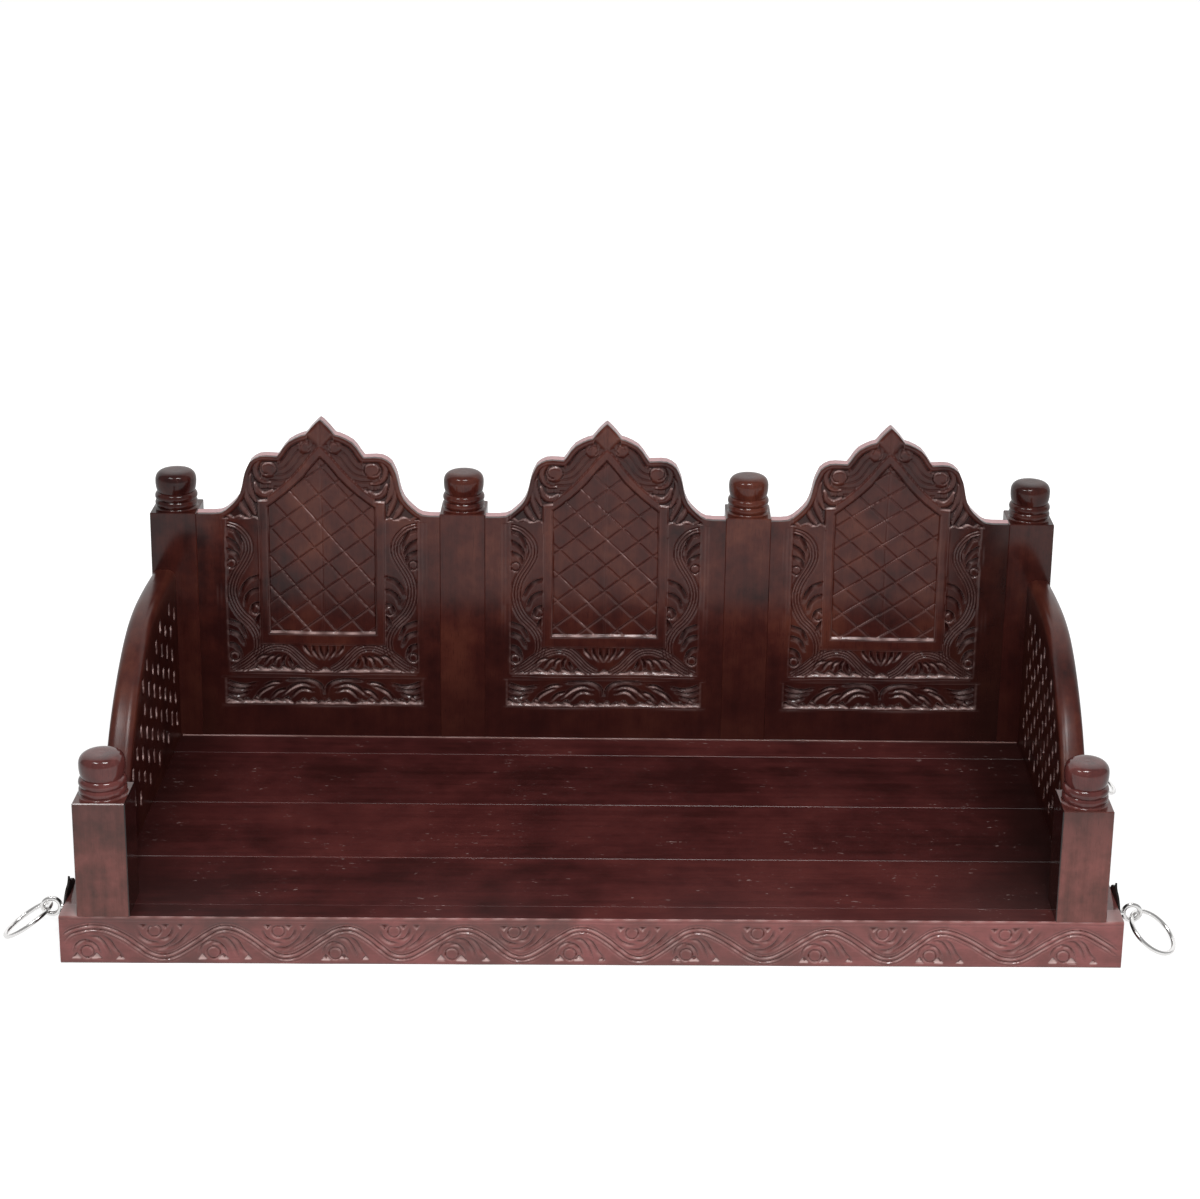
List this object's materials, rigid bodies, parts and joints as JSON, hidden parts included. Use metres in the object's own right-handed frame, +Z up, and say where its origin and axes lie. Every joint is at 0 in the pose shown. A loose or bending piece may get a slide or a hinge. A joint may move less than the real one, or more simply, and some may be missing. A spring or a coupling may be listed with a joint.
{
  "type": "jhoola swing",
  "caption": "Carved dark wood jhoola swing seat with lobed back panels, latticed arms, turned finials and hanging rings on eye bolts.",
  "frame": {"origin": "on the floor under the middle of the base: the bottom centre of the bounding box", "axes": "+X along the seat to the sitter's left as seen from the front (the viewer's right), +Y from the open front to the carved back, +Z up"},
  "size_m": [1.73, 0.7, 0.624],
  "materials": {
    "polished_wood": "gloss",
    "plain_wood": "matte",
    "black_iron": "satin",
    "chrome": "polished",
    "zinc_steel": "satin"
  },
  "bodies": {
    "seat": {"front_rail": "polished_wood", "back_rail": "polished_wood", "side_rail_left": "polished_wood", "side_rail_right": "polished_wood", "seat_plank_1": "polished_wood", "seat_plank_2": "polished_wood", "seat_plank_3": "polished_wood", "seat_plank_4": "polished_wood", "bearer_1": "plain_wood", "bearer_2": "plain_wood", "bearer_3": "plain_wood", "bearer_4": "plain_wood", "bearer_5": "plain_wood", "front_post_left": "polished_wood", "front_post_right": "polished_wood", "back_post_left": "polished_wood", "back_post_right": "polished_wood", "mid_post_left": "polished_wood", "mid_post_right": "polished_wood", "arm_left": "polished_wood", "arm_right": "polished_wood", "back_board_left": "polished_wood", "back_board_centre": "polished_wood", "back_board_right": "polished_wood", "tenon_pegs": "plain_wood", "plate_front_left": "black_iron", "eye_bolt_front_left": "chrome", "plate_front_right": "black_iron", "eye_bolt_front_right": "chrome", "plate_back_left": "black_iron", "eye_bolt_back_left": "chrome", "plate_back_right": "black_iron", "eye_bolt_back_right": "chrome", "eye_nuts": "zinc_steel", "eye_washers": "zinc_steel", "plate_screws": "black_iron", "bearer_screws": "zinc_steel"},
    "ring_front_left": {"ring_front_left": "chrome"},
    "ring_front_right": {"ring_front_right": "chrome"},
    "ring_back_left": {"ring_back_left": "chrome"},
    "ring_back_right": {"ring_back_right": "chrome"}
  },
  "joints": [
    {"name": "front_left_ring_swing", "type": "hinge", "parent": "seat", "child": "ring_front_left", "pos_m": [-0.79, -0.27, 0.048], "axis": [0.1045, 0.9945, 0], "range_deg": [-56.72, 128.28]},
    {"name": "front_right_ring_swing", "type": "hinge", "parent": "seat", "child": "ring_front_right", "pos_m": [0.79, -0.27, 0.048], "axis": [-0.4924, -0.8704, 0], "range_deg": [-55.67, 129.33]},
    {"name": "back_left_ring_swing", "type": "hinge", "parent": "seat", "child": "ring_back_left", "pos_m": [-0.79, 0.25, 0.042], "axis": [0, 1, 0], "range_deg": [-61.7, 123.3]},
    {"name": "back_right_ring_swing", "type": "hinge", "parent": "seat", "child": "ring_back_right", "pos_m": [0.79, 0.25, 0.042], "axis": [0, -1, 0], "range_deg": [-61.7, 123.3]}
  ]
}
